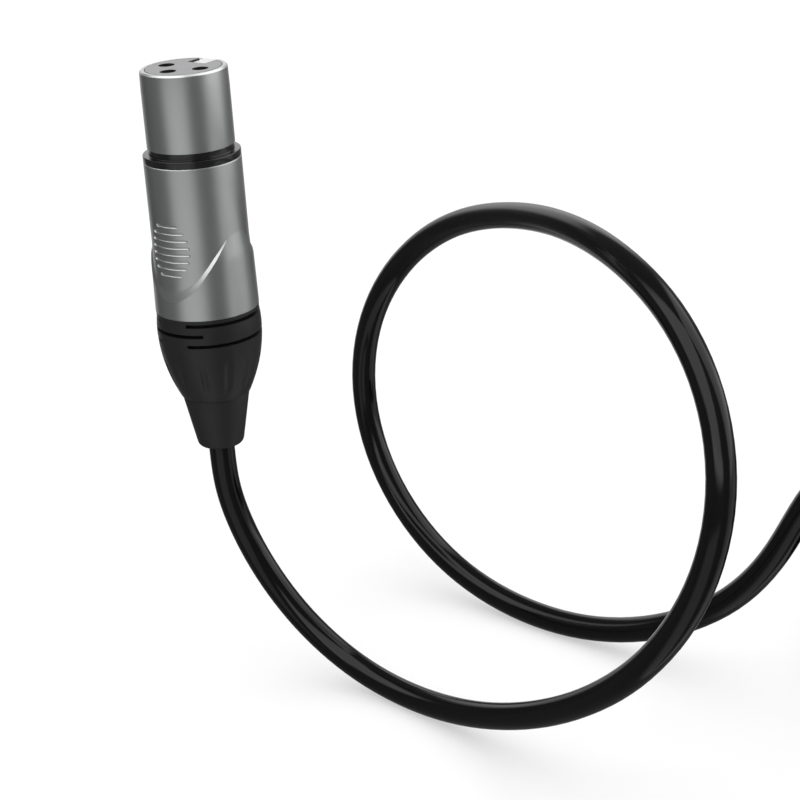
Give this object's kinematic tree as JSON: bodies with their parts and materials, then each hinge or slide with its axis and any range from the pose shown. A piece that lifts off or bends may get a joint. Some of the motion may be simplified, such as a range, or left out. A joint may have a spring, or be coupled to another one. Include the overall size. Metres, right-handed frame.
{
  "type": "microphone cable",
  "caption": "Microphone cable with locking round multi-pin plugs: socket end standing on its looped lead, rest of the cable wound in a tied coil, pin end beside it.",
  "frame": {"origin": "centre of the mating face of the socket end", "axes": "+Z is the axis of the socket end, out of its mating face and up; +X is the side of its latch; the thumb patch is on the -X side; the pin end lies on the floor beside the coil and points along +Y"},
  "size_m": [0.1734, 0.2113, 0.1405],
  "materials": {
    "satin_nickel": "satin nickel plate",
    "ring_plastic": "gloss black",
    "carrier_plastic": "fine matt, light grey",
    "contact_gold": "gold plate",
    "latch_nickel": "bright nickel",
    "spring_steel": "drawn wire",
    "tinned_strip": "tin plate",
    "clamp_plastic": "matt",
    "boot_plastic": "satin black",
    "boot_rubber": "matt black",
    "cable_jacket": "smooth, glossy black",
    "wire_red": "smooth",
    "wire_white": "smooth",
    "bare_copper": "twisted bare copper",
    "tie_fabric": "hook and loop strap"
  },
  "bodies": {
    "cable": {"female_shell": "satin_nickel", "female_ring": "ring_plastic", "female_carrier": "carrier_plastic", "socket_1": "contact_gold", "socket_2": "contact_gold", "socket_3": "contact_gold", "latch_spring": "spring_steel", "female_ground_strip": "tinned_strip", "female_clamp": "clamp_plastic", "female_boot_nut": "boot_plastic", "female_boot_sleeve": "boot_rubber", "female_cable_end": "cable_jacket", "female_wire_red": "wire_red", "female_wire_white": "wire_white", "female_drain_wire": "bare_copper", "male_shell": "satin_nickel", "male_ring": "ring_plastic", "male_carrier": "carrier_plastic", "pin_1": "contact_gold", "pin_2": "contact_gold", "pin_3": "contact_gold", "male_ground_strip": "tinned_strip", "male_clamp": "clamp_plastic", "male_boot_nut": "boot_plastic", "male_boot_sleeve": "boot_rubber", "male_cable_end": "cable_jacket", "male_wire_red": "wire_red", "male_wire_white": "wire_white", "male_drain_wire": "bare_copper", "cord_run": "cable_jacket", "cord_coil": "cable_jacket", "cord_tail": "cable_jacket", "cable_tie": "tie_fabric"},
    "latch": {"latch": "latch_nickel"}
  },
  "joints": [
    {"name": "latch_press", "type": "slide", "parent": "cable", "child": "latch", "axis": [-1, 0, 0], "range_m": [0, 0.0008], "stiffness_N_per_m": 2500, "springref_m": -0.0004, "deforming": ["latch_spring"]}
  ]
}
